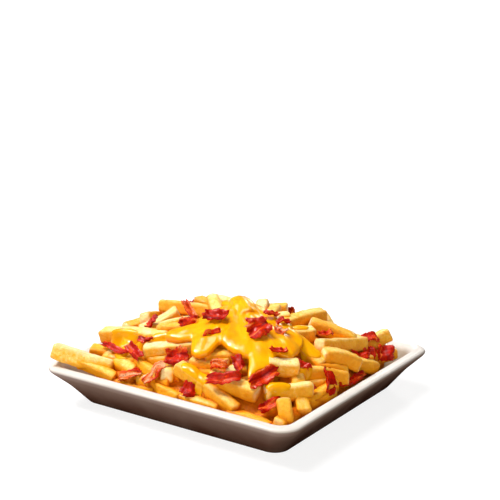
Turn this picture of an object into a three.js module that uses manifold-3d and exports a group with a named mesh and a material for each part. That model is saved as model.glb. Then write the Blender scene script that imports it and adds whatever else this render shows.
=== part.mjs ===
// Cheese fries: straight-cut fries heaped in a white dish with a broad rounded rim, a pool of cheese
// sauce poured over the top, and crisp bacon pieces. Millimetres, +Z up. The origin is under the middle
// of the dish, on the surface that it stands on; X runs along the dish's longer side.
import * as THREE from "three";
import { mergeVertices } from "three/addons/utils/BufferGeometryUtils.js";
import Module from "manifold-3d";

// Driving dimensions of the dish.
const DISH_LENGTH = 160;
const DISH_WIDTH = 148;
const DISH_HEIGHT = 22;
const DISH_FLOOR = 6; // height of the floor inside
const CORNER_RADIUS = 10;
const CORNER_STEPS = 5;

// Driving dimensions of the food.
const FRY_WIDTH = 8;
const FRY_SPACING = 0.74; // least distance between two fries' centre lines, in fry widths
const SAUCE_HALF_THICKNESS = 2.3;

// Clearance that separate pieces keep. Skins that bend get more, as their clearance comes out narrower.
const GAP = 0.35;
const SAUCE_GAP = 0.45;
const BACON_GAP = 0.6;

// The heap's outer form: a mound that meets the dish a little under the rim.
const MOUND = { x: -2, y: -4, halfX: 76, halfY: 67, edge: 20.5, peak: 50.5, squareness: 2.4, fullness: 0.7 };
const CORE_DEPTH = 11; // the bare core lies this far under the mound's surface
const CORE_DEPTH_UNDER_SAUCE = 3.2;
const CORE_DEPTH_AT_FOOT = 2.3; // near the dish's wall, so that the dish is full to just under its rim
const FRY_LIFT_AT_FOOT = 2.5; // how much higher the fries lie there

// One repeatable stream of draws for everything that is scattered.
let seed = 41;
function draw(low = 0, high = 1) {
  seed = (seed * 16807) % 2147483647;
  return low + ((high - low) * seed) / 2147483647;
}

const wasm = await Module();
wasm.setup();

// Closed three.js geometry to a solid that can be joined and cut.
function solidOf(geometry) {
  const bare = geometry.clone();
  bare.deleteAttribute("normal");
  bare.deleteAttribute("uv");
  const merged = mergeVertices(bare, 1e-4);
  const mesh = new wasm.Mesh({
    numProp: 3,
    vertProperties: new Float32Array(merged.attributes.position.array),
    triVerts: new Uint32Array(merged.index.array),
  });
  return new wasm.Manifold(mesh);
}

function geometryOf(solid) {
  const mesh = solid.getMesh();
  const geometry = new THREE.BufferGeometry();
  geometry.setAttribute("position", new THREE.BufferAttribute(mesh.vertProperties, 3));
  geometry.setIndex(new THREE.BufferAttribute(mesh.triVerts, 1));
  return geometry;
}

function unionOf(solids) {
  return wasm.Manifold.union(solids);
}

function largestBody(solid) {
  return solid.decompose().reduce((best, body) => (body.volume() > best.volume() ? body : best));
}

// A closed skin over rings of equally many points, each turning right-handed about the way that the
// rings advance. Fans about their middles close the first and the last ring.
function loft(rings) {
  const count = rings[0].length;
  const points = rings.flat();
  const index = [];
  for (let ring = 0; ring + 1 < rings.length; ring++) {
    for (let i = 0; i < count; i++) {
      const a = ring * count + i;
      const b = ring * count + ((i + 1) % count);
      index.push(a, b, a + count, b, b + count, a + count);
    }
  }
  for (const [start, isLast] of [[0, false], [(rings.length - 1) * count, true]]) {
    const middle = points.length;
    const ring = points.slice(start, start + count);
    points.push(ring.reduce((sum, p) => sum.add(p), new THREE.Vector3()).divideScalar(count));
    for (let i = 0; i < count; i++) {
      const a = start + i;
      const b = start + ((i + 1) % count);
      index.push(middle, isLast ? a : b, isLast ? b : a);
    }
  }
  const geometry = new THREE.BufferGeometry().setFromPoints(points);
  geometry.setIndex(index);
  return geometry;
}

// Directions across a piece that points along an axis: to its left, and up from its upper face.
function acrossAndUp(axis) {
  const across = new THREE.Vector3(0, 0, 1).cross(axis).normalize();
  const up = new THREE.Vector3().crossVectors(axis, across);
  return { across, up };
}

// The dish

function roundedRectangle(halfX, halfY, radius, z) {
  const corners = [[1, 1, 0], [-1, 1, 90], [-1, -1, 180], [1, -1, 270]];
  return corners.flatMap(([sideX, sideY, startDeg]) =>
    Array.from({ length: CORNER_STEPS + 1 }, (_, step) => {
      const angle = THREE.MathUtils.degToRad(startDeg + (90 * step) / CORNER_STEPS);
      return new THREE.Vector3(
        sideX * (halfX - radius) + radius * Math.cos(angle),
        sideY * (halfY - radius) + radius * Math.sin(angle),
        z,
      );
    }),
  );
}

// The dish's section: the foot and the leaning outer wall up to the rim's outer edge, then over the rim
// and down to the floor inside. Each station is [distance in from the dish's outer edge, height, corner
// radius].
const OUTER_SECTION = [
  [26, 1.2, 5],
  [22.5, 0, 5.5],
  [18, 0, 7],
  [15.9, 0.7, 8],
  [14.6, 2.2, 8.5],
  [8, 11.2, 9],
  [1.8, 17.8, 9.5],
  [0.4, 19.4, CORNER_RADIUS],
  [0, 20.5, CORNER_RADIUS],
];
const INNER_SECTION = [
  [0.7, 21.5, CORNER_RADIUS],
  [2.3, DISH_HEIGHT, CORNER_RADIUS - 1],
  [5.2, DISH_HEIGHT - 0.2, CORNER_RADIUS - 2],
  [7, DISH_HEIGHT - 1.2, CORNER_RADIUS - 3],
  [9, DISH_HEIGHT - 3.6, 6.5],
  [16.6, 9.2, 6],
  [18.8, 7, 5.5],
  [22.5, DISH_FLOOR, 5],
];

// The dish, or with some growth the room that it takes up for what lies in it.
function dishSolid(growth) {
  const ring = ([inset, z, radius], outwards, rise) =>
    roundedRectangle(
      DISH_LENGTH / 2 - inset + outwards,
      DISH_WIDTH / 2 - inset + outwards,
      radius,
      z + rise,
    );
  return solidOf(
    loft([
      ...OUTER_SECTION.map((station) => ring(station, growth, 0)),
      ...INNER_SECTION.map((station) => ring(station, -growth, growth)),
    ]),
  );
}

// How far in from the dish's outer edge its inner wall lies at a height.
function innerInset(z) {
  const [upper, lower] = [INNER_SECTION[4], INNER_SECTION[5]];
  const share = THREE.MathUtils.clamp((upper[1] - z) / (upper[1] - lower[1]), 0, 1);
  return THREE.MathUtils.lerp(upper[0], lower[0], share);
}

// The mound

// How far out a place lies: 0 at the mound's middle and 1 at its foot.
function moundShare(x, y) {
  const alongX = Math.abs((x - MOUND.x) / MOUND.halfX) ** MOUND.squareness;
  const alongY = Math.abs((y - MOUND.y) / MOUND.halfY) ** MOUND.squareness;
  return Math.min(1, (alongX + alongY) ** (1 / MOUND.squareness));
}

function moundHeight(x, y) {
  return MOUND.edge + (MOUND.peak - MOUND.edge) * (1 - moundShare(x, y) ** 2) ** MOUND.fullness;
}

// The cheese sauce

// The ribbons that the sauce was poured in, as seen from above: [x, y, half width] along each. The
// narrow ends are the tongues that run down between the fries.
const POURS = [
  [[-5, 5, 4.5], [0, -4, 7.5], [9, -18, 13], [24, -20, 14], [37, -14, 11]],
  [[-1, -6, 6], [-2, -20, 8], [-3, -33, 8.5], [-9, -39.5, 6], [-15, -42, 3.4]],
  [[6, -28, 9.5], [6, -38, 9], [7.5, -44.5, 7]],
  [[33, -26, 9], [38.5, -36, 7], [41.5, -43, 5.5], [42.5, -47.5, 4.4]],
  [[14, -28, 9], [21, -33, 8], [29, -36, 6]],
  [[36, -12, 8], [41, -17, 8], [44.5, -22.5, 6.2]],
];
// The sheet that spread over the top behind them, in the same form
const CREST = [[-6, 2, 7], [6, 0, 9], [18, -3, 9], [29, -6, 8]];
// The curl left where the pouring stopped: [x, y, height over the mound, radius].
const CURL = [[12, -9, 0, 6.5], [2, -1, 1.8, 7], [-6.5, 4.5, 2.2, 5.6]];
// A ribbon's section, from its left edge over the top to its right edge and back under: [across, up] in
// halves.
const RIBBON_SECTION = [
  [1, -0.35],
  [0.93, 0.45],
  [0.72, 0.88],
  [0, 1],
  [-0.72, 0.88],
  [-0.93, 0.45],
  [-1, -0.35],
  [-0.7, -1],
  [0.7, -1],
];
// Each end rounds off: [how far out, how wide, how thick], in half widths.
const RIBBON_END = [[0.96, 0.28, 0.45], [0.7, 0.71, 0.85]];

function ribbonSolid(pour, growth) {
  const line = new THREE.CatmullRomCurve3(pour.map(([x, y, half]) => new THREE.Vector3(x, y, half)));
  const steps = pour.length;
  const stations = [];
  for (let step = 0; step <= steps; step++) {
    const tangent = line.getTangent(step / steps);
    const along = new THREE.Vector2(tangent.x, tangent.y).normalize();
    const at = line.getPoint(step / steps);
    const whole = { x: at.x, y: at.y, half: at.z, along, thick: 1 };
    const rounded = (way) =>
      RIBBON_END.map(([out, wide, thick]) => ({
        x: at.x + way * along.x * out * (at.z + growth),
        y: at.y + way * along.y * out * (at.z + growth),
        half: at.z * wide,
        along,
        thick,
      }));
    if (step === 0) stations.push(...rounded(-1));
    stations.push(whole);
    if (step === steps) stations.push(...rounded(1).reverse());
  }
  const rings = stations.map(({ x, y, half, along, thick }) =>
    RIBBON_SECTION.map(([across, up]) => {
      const offset = (half + growth) * across;
      const pointX = x - along.y * offset;
      const pointY = y + along.x * offset;
      const rise = (SAUCE_HALF_THICKNESS * thick + growth) * up;
      return new THREE.Vector3(pointX, pointY, moundHeight(pointX, pointY) + rise);
    }),
  );
  return solidOf(loft(rings));
}

function curlSolid(growth) {
  const line = new THREE.CatmullRomCurve3(
    CURL.map(([x, y, rise]) => new THREE.Vector3(x, y, moundHeight(x, y) + rise)),
  );
  const rings = [];
  const steps = 4;
  for (let step = 0; step <= steps; step++) {
    const share = step / steps;
    const { across, up } = acrossAndUp(line.getTangent(share));
    const nearer = Math.min(CURL.length - 2, Math.floor(share * (CURL.length - 1)));
    const between = share * (CURL.length - 1) - nearer;
    const swell = step === steps ? 0.6 : 1;
    const radius = swell * THREE.MathUtils.lerp(CURL[nearer][3], CURL[nearer + 1][3], between) + growth;
    rings.push(
      Array.from({ length: 8 }, (_, i) => {
        const angle = (i * Math.PI) / 4;
        return line
          .getPoint(share)
          .addScaledVector(across, radius * Math.cos(angle))
          .addScaledVector(up, 0.65 * radius * Math.sin(angle));
      }),
    );
  }
  return solidOf(loft(rings));
}

function sauceSolid(growth) {
  const ribbons = [...POURS, CREST].map((pour) => ribbonSolid(pour, growth));
  return unionOf([...ribbons, curlSolid(growth)]);
}

// Plan distance from a place to the nearest poured ribbon's edge, negative within it.
function sauceEdge(x, y) {
  let nearest = Infinity;
  for (const pour of POURS) {
    for (let i = 0; i + 1 < pour.length; i++) {
      const [startX, startY, startHalf] = pour[i];
      const [endX, endY, endHalf] = pour[i + 1];
      const spanX = endX - startX;
      const spanY = endY - startY;
      const along = ((x - startX) * spanX + (y - startY) * spanY) / (spanX ** 2 + spanY ** 2);
      const share = THREE.MathUtils.clamp(along, 0, 1);
      const away = Math.hypot(x - startX - share * spanX, y - startY - share * spanY);
      nearest = Math.min(nearest, away - THREE.MathUtils.lerp(startHalf, endHalf, share));
    }
  }
  return nearest;
}

// The fries

// The fries that show on the near side, each from its free end to its other end: [x, y, z], [x, y, z],
// width.
const SHOWN_FRIES = [
  [[-77.5, -66, 29.5], [-43, -56, 23], 9.4],
  [[-62, -63, 25], [-38, -61.5, 19.5], 7],
  [[-67, -38, 32], [-24, -34, 37], 8.5],
  [[-65, -50, 27], [-50, -45, 24], 7.5],
  [[-46, -54, 25], [-60, -30, 23], 8],
  [[-27, -50, 34], [6, -35, 40], 9],
  [[-36, -42, 34], [-10, -28, 41], 7],
  [[-37, -52, 25], [-8, -46, 31], 8],
  [[-37, -50, 25], [-14, -60, 20], 8],
  [[-5, -59, 28], [-14, -40, 24], 8.5],
  [[-44, -62, 17], [-10, -61, 17.5], 7.5],
  [[-26, -56, 24], [6, -62, 18.5], 7.5],
  [[-1, -55.5, 33], [39, -59, 18.5], 8],
  [[-4, -60, 18], [30, -60, 18], 8],
  [[46, -50, 26], [18, -53, 30.5], 8.5],
  [[48.5, -48, 27], [65, -29, 27], 8.5],
  [[60, -49, 27], [66, -55, 16], 8],
  [[47, -20, 33.5], [68, -42, 17.5], 8],
  [[42, -36, 37], [54, -25, 35], 9],
  [[55, -4, 35], [67, 14, 27], 9],
  [[50, 1, 38], [57, 37, 30], 8.5],
  [[33, 18, 42], [55, 31, 32], 8.5],
  [[23, 4, 42], [32, 36, 42], 8],
  [[26, 41, 40], [41, 30, 33], 8],
  [[53, -22, 30], [69, -1, 24], 8.5],
  [[56, -25, 24], [63, -8, 23], 8],
  [[63, -34, 20], [67, -12, 20], 8],
  [[61, 14, 26], [67, 33, 19], 8],
  [[62, 57, 31], [46, 30, 17], 8],
  [[68.5, 53, 22.5], [52, 24, 18], 6.5],
  [[-57, 3, 40], [-18, 0, 44], 8],
  [[-36, -8, 43], [-50, -25, 33], 8],
  [[-33, -31, 39], [-14, -22, 42], 8.5],
  [[-24, 7, 49], [-8, -8, 43], 7.5],
  [[1, 22, 47], [7, 4, 44], 8],
  [[10, 21, 46], [15, 3, 44], 7],
  [[24, 14, 45], [10, 4, 43], 7],
  [[8, -44, 37], [26, -32, 38], 8.5],
  [[2, -48, 33], [22, -41, 34], 9],
  [[29, -49, 33], [24, -32, 30], 7.5],
  [[36, -6, 42], [57, -6, 30], 9],
  [[38, 52, 19], [64, 44, 17], 8],
  [[30, 42, 22], [58, 52, 15], 8],
  [[34, -60, 16], [60, -60, 14], 8],
  [[64, -60, 17], [64, -28, 16], 8],
];
// The fries between and behind those are scattered over the mound's surface in rounds: how deep their
// centre lines lie, how long the fries are, and how many tries there are.
const SCATTER_ROUNDS = [
  { depth: 4.5, length: [42, 62], tries: 3000 },
  { depth: 4.5, length: [28, 42], tries: 3000 },
  { depth: 6, length: [20, 28], tries: 3000 },
  { depth: 10.5, length: [34, 56], tries: 1500 },
];
const MOST_SCATTERED = 20;
const WALL_ROOM = 4.2; // least distance from a scattered fry's end to the dish's inner wall

// Least distance between two fries' centre lines, by stepping along one of them.
function fryDistance(fry, other) {
  const line = new THREE.Line3(other.from, other.to);
  const probe = new THREE.Vector3();
  const nearest = new THREE.Vector3();
  let least = Infinity;
  for (let step = 0; step <= 10; step++) {
    probe.lerpVectors(fry.from, fry.to, step / 10);
    line.closestPointToPoint(probe, true, nearest);
    least = Math.min(least, probe.distanceTo(nearest));
  }
  return least;
}

function liesInDish(point) {
  const inset = innerInset(point.z - FRY_WIDTH / 2) + WALL_ROOM;
  const withinX = Math.abs(point.x) < DISH_LENGTH / 2 - inset;
  const withinY = Math.abs(point.y) < DISH_WIDTH / 2 - inset;
  return withinX && withinY;
}

// Each try is kept if it lies in the dish, out of the sauce and clear of the fries that are there already.
function scatterFries(shown) {
  const fries = shown.slice();
  const most = shown.length + MOST_SCATTERED;
  for (const { depth, length, tries } of SCATTER_ROUNDS) {
    for (let attempt = 0; attempt < tries && fries.length < most; attempt++) {
      const x = MOUND.x + draw(-1, 1) * MOUND.halfX;
      const y = MOUND.y + draw(-1, 1) * MOUND.halfY;
      const heading = draw(0, Math.PI);
      const half = draw(...length) / 2;
      const width = FRY_WIDTH * draw(0.85, 1.12);
      const tilt = draw(-3, 3);
      const roll = draw(-20, 20);
      const bow = draw(-1.2, 1.2);
      const [from, to] = [-1, 1].map((way) => {
        const endX = x + way * half * Math.cos(heading);
        const endY = y + way * half * Math.sin(heading);
        const lift = FRY_LIFT_AT_FOOT * moundShare(endX, endY) ** 4 + way * tilt;
        return new THREE.Vector3(endX, endY, moundHeight(endX, endY) - depth + lift);
      });
      const fry = { from, to, width, roll, bow };
      const clear = fries.every((other) => fryDistance(fry, other) > FRY_SPACING * FRY_WIDTH);
      if (clear && liesInDish(from) && liesInDish(to) && sauceEdge(x, y) > 2) fries.push(fry);
    }
  }
  return fries;
}

function allFries() {
  const shown = SHOWN_FRIES.map(([from, to, width]) => ({
    from: new THREE.Vector3(...from),
    to: new THREE.Vector3(...to),
    width,
    roll: draw(-16, 16),
    bow: draw(-1.2, 1.2),
  }));
  return scatterFries(shown);
}

// A fry from one end to the other: square in section, bowed a little, with worn ends.
function frySolid({ from, to, width, roll, bow }) {
  const axis = new THREE.Vector3().subVectors(to, from);
  const length = axis.length();
  axis.normalize();
  const { across, up } = acrossAndUp(axis);
  const worn = 1.6 / length;
  const stations = [[0, 0.76], [worn, 1], [1 - worn, 1], [1, 0.76]];
  const rings = stations.map(([share, size]) => {
    const middle = new THREE.Vector3().lerpVectors(from, to, share);
    middle.addScaledVector(up, bow * (share - share ** 2) * 4);
    return [45, 135, 225, 315].map((corner) => {
      const angle = THREE.MathUtils.degToRad(corner + roll);
      const reach = (width / Math.SQRT2) * size;
      return middle
        .clone()
        .addScaledVector(across, reach * Math.cos(angle))
        .addScaledVector(up, reach * Math.sin(angle));
    });
  });
  return solidOf(loft(rings));
}

// The bare core lies in the dish and follows the mound under the fries.
const CORE_STEPS = 36;
const CORE_SQUARENESS = 9;
const CORE_REACH = { x: DISH_LENGTH / 2 - 10.5, y: DISH_WIDTH / 2 - 10.5 }; // nearly to the dish's wall

function coreSolid() {
  const coreTop = (x, y) => {
    const bare = THREE.MathUtils.smoothstep(sauceEdge(x, y), -5, 2);
    const depth = THREE.MathUtils.lerp(CORE_DEPTH_UNDER_SAUCE, CORE_DEPTH, bare);
    return moundHeight(x, y) - THREE.MathUtils.lerp(depth, CORE_DEPTH_AT_FOOT, moundShare(x, y) ** 4);
  };
  const ring = (share, height) =>
    Array.from({ length: CORE_STEPS }, (_, step) => {
      const angle = (2 * Math.PI * step) / CORE_STEPS;
      const alongX = Math.abs(Math.cos(angle)) ** CORE_SQUARENESS;
      const alongY = Math.abs(Math.sin(angle)) ** CORE_SQUARENESS;
      const reach = share * (alongX + alongY) ** (-1 / CORE_SQUARENESS);
      const x = reach * CORE_REACH.x * Math.cos(angle);
      const y = reach * CORE_REACH.y * Math.sin(angle);
      return new THREE.Vector3(x, y, height ?? coreTop(x, y));
    });
  const tops = [1, 0.84, 0.68, 0.52, 0.36, 0.2].map((share) => ring(share));
  return solidOf(loft([ring(0.8, DISH_FLOOR + GAP), ...tops]));
}

// Thick drops of sauce that landed on single fries: [x, y, z], half sizes, heading in degrees.
const SAUCE_DROPS = [
  [[-38, -48, 35], [9, 5.5, 3], 20],
  [[9, -57, 34], [7, 5.5, 3], -20],
  [[53, -44, 31], [7, 5.5, 3], 40],
  [[31, 7, 43.5], [8, 4.5, 3.2], 10],
];

function dropSolid([middle, half, headingDeg]) {
  const drop = new THREE.SphereGeometry(1, 8, 5);
  drop.rotateX(Math.PI / 2);
  drop.scale(...half);
  drop.rotateZ(THREE.MathUtils.degToRad(headingDeg));
  drop.translate(...middle);
  return solidOf(drop);
}

// The bacon

// Bacon pieces on the near side: [x, y, z], [x, y, z], width, lean down the mound in degrees, thickness.
const SHOWN_BACON = [
  [[-58, -48, 32], [-36, -53, 32], 4.5, 20, 2],
  [[-38, -50, 36], [-25, -57, 33], 6, 35, 1.8],
  [[-34, -46, 39], [-25, -46, 40], 5.5, 10, 2],
  [[-10, -53, 36], [2, -50, 38], 9, 55, 2.2],
  [[-9, -57, 34], [-16, -65, 24], 7, 20, 1.6],
  [[-22, -61, 28], [-35, -63, 22], 6.5, 40, 1.6],
  [[-28, -13, 52], [-15, -20, 47], 4.5, 15, 2],
  [[-18, -31, 48], [-9, -27, 49], 6.5, 40, 2.6],
  [[-4, -28, 56], [8, -23, 56], 8.5, 25, 3.4],
  [[4, -40, 50], [10, -33, 52], 4, 15, 2],
  [[25, -28, 54], [33, -21, 53], 10, 35, 3.6],
  [[16, -18, 55], [26, -13, 55], 4, 10, 2.4],
  [[21, -8, 56], [26, -1, 55], 4.5, 10, 2.4],
  [[29, -8, 54], [33, -1, 53], 3.8, 5, 2.4],
  [[33, -15, 53], [39, -13, 51], 5, 20, 2.2],
  [[27, -43, 41], [34, -48, 37], 5.5, 20, 1.8],
  [[41, -32, 44], [48, -26, 43], 4, 15, 2],
  [[43.5, -54, 33], [50, -38, 38], 8, 40, 2],
  [[18, -53, 37], [26, -49, 39], 6.5, 40, 2],
  [[22, -61, 33], [37, -52, 34], 6.5, 35, 2],
  [[50, -22, 38], [58, -20, 33], 4.5, 20, 1.8],
  [[54, 40, 32], [61, 46, 32], 7, 25, 2.8],
  [[59, 20, 30], [65, 29, 27], 6, 20, 2],
  [[64, 40, 25], [69.5, 48, 24], 10, 50, 3.4],
  [[59, 31, 27], [63, 38, 26], 9, 50, 3],
  [[64, -10, 32], [70, -21, 23], 9, 60, 1.8],
  [[69, -8, 22], [69, 17, 22], 5, 30, 1.8],
  [[62, -32, 27], [66, -27, 27], 4, 10, 1.8],
  [[51, -57, 22], [58, -46, 25], 6.5, 35, 1.6],
  [[7, -62, 26], [15, -61, 24], 7, 55, 1.8],
  [[47, 6, 43], [51, 13, 42], 4, 10, 1.8],
  [[-38, -32, 42], [-42, -22, 43], 6.5, 30, 1.8],
];
const SINK_IN_SAUCE = 1;
const FAR_BACON_BEARINGS = [72, 92, 108, 124, 140]; // on the far side, about the mound's middle
const BACON_STATIONS = 5;

// The outline's unevenness: how far each edge reaches at every station, and where the ripple starts.
function unevenness() {
  const reach = Array.from({ length: BACON_STATIONS }, () => [draw(0.78, 1.12), draw(0.78, 1.12)]);
  return { reach, phase: draw(0, 2 * Math.PI) };
}

function shownBacon() {
  return SHOWN_BACON.map(([from, to, width, lean, thickness]) => ({
    from: new THREE.Vector3(...from),
    to: new THREE.Vector3(...to),
    width,
    lean,
    thickness,
    ...unevenness(),
  }));
}

function farBacon() {
  return FAR_BACON_BEARINGS.map((bearing) => {
    const angle = THREE.MathUtils.degToRad(bearing);
    const reach = draw(0.93, 0.99);
    const x = MOUND.x + reach * MOUND.halfX * Math.cos(angle);
    const y = MOUND.y + reach * MOUND.halfY * Math.sin(angle);
    const heading = draw(0, Math.PI);
    const half = draw(4, 7);
    const [from, to] = [-1, 1].map((way) => {
      const endX = x + way * half * Math.cos(heading);
      const endY = y + way * half * Math.sin(heading);
      return new THREE.Vector3(endX, endY, moundHeight(endX, endY) + 3);
    });
    return { from, to, width: draw(5, 8), lean: draw(20, 40), thickness: 2, ...unevenness() };
  });
}

// A thin strip, rippled along its length as it shrank in the pan, and leaning down the mound's slope.
function baconSolid({ from, to, width, lean, thickness, reach, phase }, growth) {
  const axis = new THREE.Vector3().subVectors(to, from).normalize();
  const start = from.clone().addScaledVector(axis, -growth);
  const finish = to.clone().addScaledVector(axis, growth);
  const { across, up } = acrossAndUp(axis);
  const downhill = across.x * (from.x - MOUND.x) + across.y * (from.y - MOUND.y);
  const turn = THREE.MathUtils.degToRad(downhill > 0 ? -lean : lean);
  across.applyAxisAngle(axis, turn);
  up.applyAxisAngle(axis, turn);
  const rings = reach.map(([left, right], station) => {
    const share = station / (BACON_STATIONS - 1);
    const middle = new THREE.Vector3().lerpVectors(start, finish, share);
    middle.addScaledVector(up, 0.8 * Math.sin(2 * Math.PI * share + phase));
    const taper = 0.68 + 0.32 * Math.sin(Math.PI * share);
    const edges = [[-right, -1], [left, -1], [left, 1], [-right, 1]];
    return edges.map(([side, face]) =>
      middle
        .clone()
        .addScaledVector(across, (width / 2) * taper * side + Math.sign(side) * growth)
        .addScaledVector(up, (thickness / 2 + growth) * face),
    );
  });
  return solidOf(loft(rings));
}

// Lowers a bacon piece until it lies on what is under it, and a little into the sauce. A piece that is
// sunk in already stays where it is.
function settled(piece, ground) {
  const farthest = 3;
  let drop = 0;
  for (let pass = 0; pass < 12; pass++) {
    const room = baconSolid(piece, 0).translate(0, 0, -drop).minGap(ground, farthest);
    if (room <= 1.2 * GAP) break;
    drop += room - GAP;
  }
  const middle = piece.from.clone().lerp(piece.to, 0.5);
  if (sauceEdge(middle.x, middle.y) < 0) drop += SINK_IN_SAUCE;
  const lower = (point) => point.clone().setZ(point.z - drop);
  return { ...piece, from: lower(piece.from), to: lower(piece.to) };
}

// Everything together: the heap is cut clear of the dish, the sauce and the bacon, and each bacon piece
// clear of the ones laid before it.
const dish = dishSolid(0);
const wholeSauce = sauceSolid(0);
const wholeHeap = unionOf([coreSolid(), ...allFries().map(frySolid), ...SAUCE_DROPS.map(dropSolid)])
  .subtract(dishSolid(GAP))
  .subtract(sauceSolid(SAUCE_GAP));

const ground = unionOf([wholeHeap, wholeSauce, dish]);
const bacon = [...shownBacon(), ...farBacon()].map((piece) => settled(piece, ground));
const baconRooms = bacon.map((piece) => baconSolid(piece, BACON_GAP));
const baconPieces = bacon.map((piece, number) =>
  largestBody(baconSolid(piece, 0).subtract(unionOf(baconRooms.slice(0, number)))),
);
const heap = largestBody(wholeHeap.subtract(unionOf(baconRooms)));
const sauce = largestBody(wholeSauce.subtract(unionOf(baconRooms)));

const MATERIALS = {
  porcelain: new THREE.MeshStandardMaterial({ color: 0xe9e2dc, roughness: 0.22, metalness: 0 }),
  fries: new THREE.MeshStandardMaterial({ color: 0xf2bd55, roughness: 0.55, metalness: 0 }),
  cheese: new THREE.MeshStandardMaterial({ color: 0xf9b208, roughness: 0.22, metalness: 0 }),
  bacon: new THREE.MeshStandardMaterial({ color: 0x9c2418, roughness: 0.4, metalness: 0 }),
};

// A named mesh whose own origin is the middle of the piece.
function pieceMesh(name, solid, material) {
  const geometry = geometryOf(solid);
  geometry.computeBoundingBox();
  const middle = geometry.boundingBox.getCenter(new THREE.Vector3());
  geometry.translate(-middle.x, -middle.y, -middle.z);
  geometry.computeVertexNormals();
  const mesh = new THREE.Mesh(geometry, material);
  mesh.name = name;
  mesh.position.copy(middle);
  return mesh;
}

const toppings = new THREE.Group();
toppings.add(pieceMesh("cheese_sauce", sauce, MATERIALS.cheese));
baconPieces.forEach((solid, number) => {
  toppings.add(pieceMesh(`bacon_${String(number + 1).padStart(2, "0")}`, solid, MATERIALS.bacon));
});

const cheeseFries = new THREE.Group();
cheeseFries.add(pieceMesh("dish", dish, MATERIALS.porcelain));
cheeseFries.add(pieceMesh("fries", heap, MATERIALS.fries));
cheeseFries.add(toppings);

export default cheeseFries;
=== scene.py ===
# Cheese fries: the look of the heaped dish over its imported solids, with the photograph's camera.
import math

import bpy
import numpy as np
from mathutils import Matrix, Vector, noise
from mathutils.bvhtree import BVHTree


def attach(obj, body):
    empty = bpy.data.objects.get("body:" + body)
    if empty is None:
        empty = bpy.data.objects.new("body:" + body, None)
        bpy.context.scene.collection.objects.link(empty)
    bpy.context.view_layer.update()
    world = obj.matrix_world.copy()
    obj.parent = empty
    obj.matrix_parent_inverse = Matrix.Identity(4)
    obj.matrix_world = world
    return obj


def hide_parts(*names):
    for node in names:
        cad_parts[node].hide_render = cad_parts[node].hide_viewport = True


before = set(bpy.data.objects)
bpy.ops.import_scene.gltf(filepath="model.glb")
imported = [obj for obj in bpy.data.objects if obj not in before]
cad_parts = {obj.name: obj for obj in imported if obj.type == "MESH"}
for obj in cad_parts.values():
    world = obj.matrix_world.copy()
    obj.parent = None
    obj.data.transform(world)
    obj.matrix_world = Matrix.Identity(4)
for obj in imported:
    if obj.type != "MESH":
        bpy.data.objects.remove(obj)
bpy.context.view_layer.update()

MM = 0.001  # sizes below are in millimetres, as in the solids, and the meshes are made in metres
noise.seed_set(1)  # vector noise would otherwise differ from run to run

# The dish, with the solids' numbers
DISH_LENGTH = 160
DISH_WIDTH = 148
DISH_HEIGHT = 22
# Each station of its section is (distance in from the dish's outer edge, height, corner radius).
OUTER_SECTION = [
    (26, 1.2, 5),
    (22.5, 0, 5.5),
    (18, 0, 7),
    (15.9, 0.7, 8),
    (14.6, 2.2, 8.5),
    (8, 11.2, 9),
    (1.8, 17.8, 9.5),
    (0.4, 19.4, 10),
    (0, 20.5, 10),
]
INNER_SECTION = [
    (0.7, 21.5, 10),
    (2.3, 22, 9),
    (5.2, 21.8, 8),
    (7, 20.8, 7),
    (9, 18.4, 6.5),
    (16.6, 9.2, 6),
    (18.8, 7, 5.5),
    (22.5, 6, 5),
]

# The heap, with the solids' numbers: a squared dome, from its height at the foot to its peak
MOUND_MIDDLE = (-2, -4)
MOUND_HALF = (76, 67)
MOUND_EDGE = 20.5
MOUND_PEAK = 50.5
MOUND_SQUARENESS = 2.4
MOUND_FULLNESS = 0.7
FRY_WIDTH = 8
FRY_SPACING = 0.74  # least distance between scattered fries' centre lines, in fry widths
WALL_ROOM = 4.2
FRY_LIFT_AT_FOOT = 2.5
MOST_SCATTERED = 20
# Each round of scattered fries is (depth of their centre lines, (shortest, longest), tries).
SCATTER_ROUNDS = [
    (4.5, (42, 62), 3000),
    (4.5, (28, 42), 3000),
    (6, (20, 28), 3000),
    (10.5, (34, 56), 1500),
]
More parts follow.
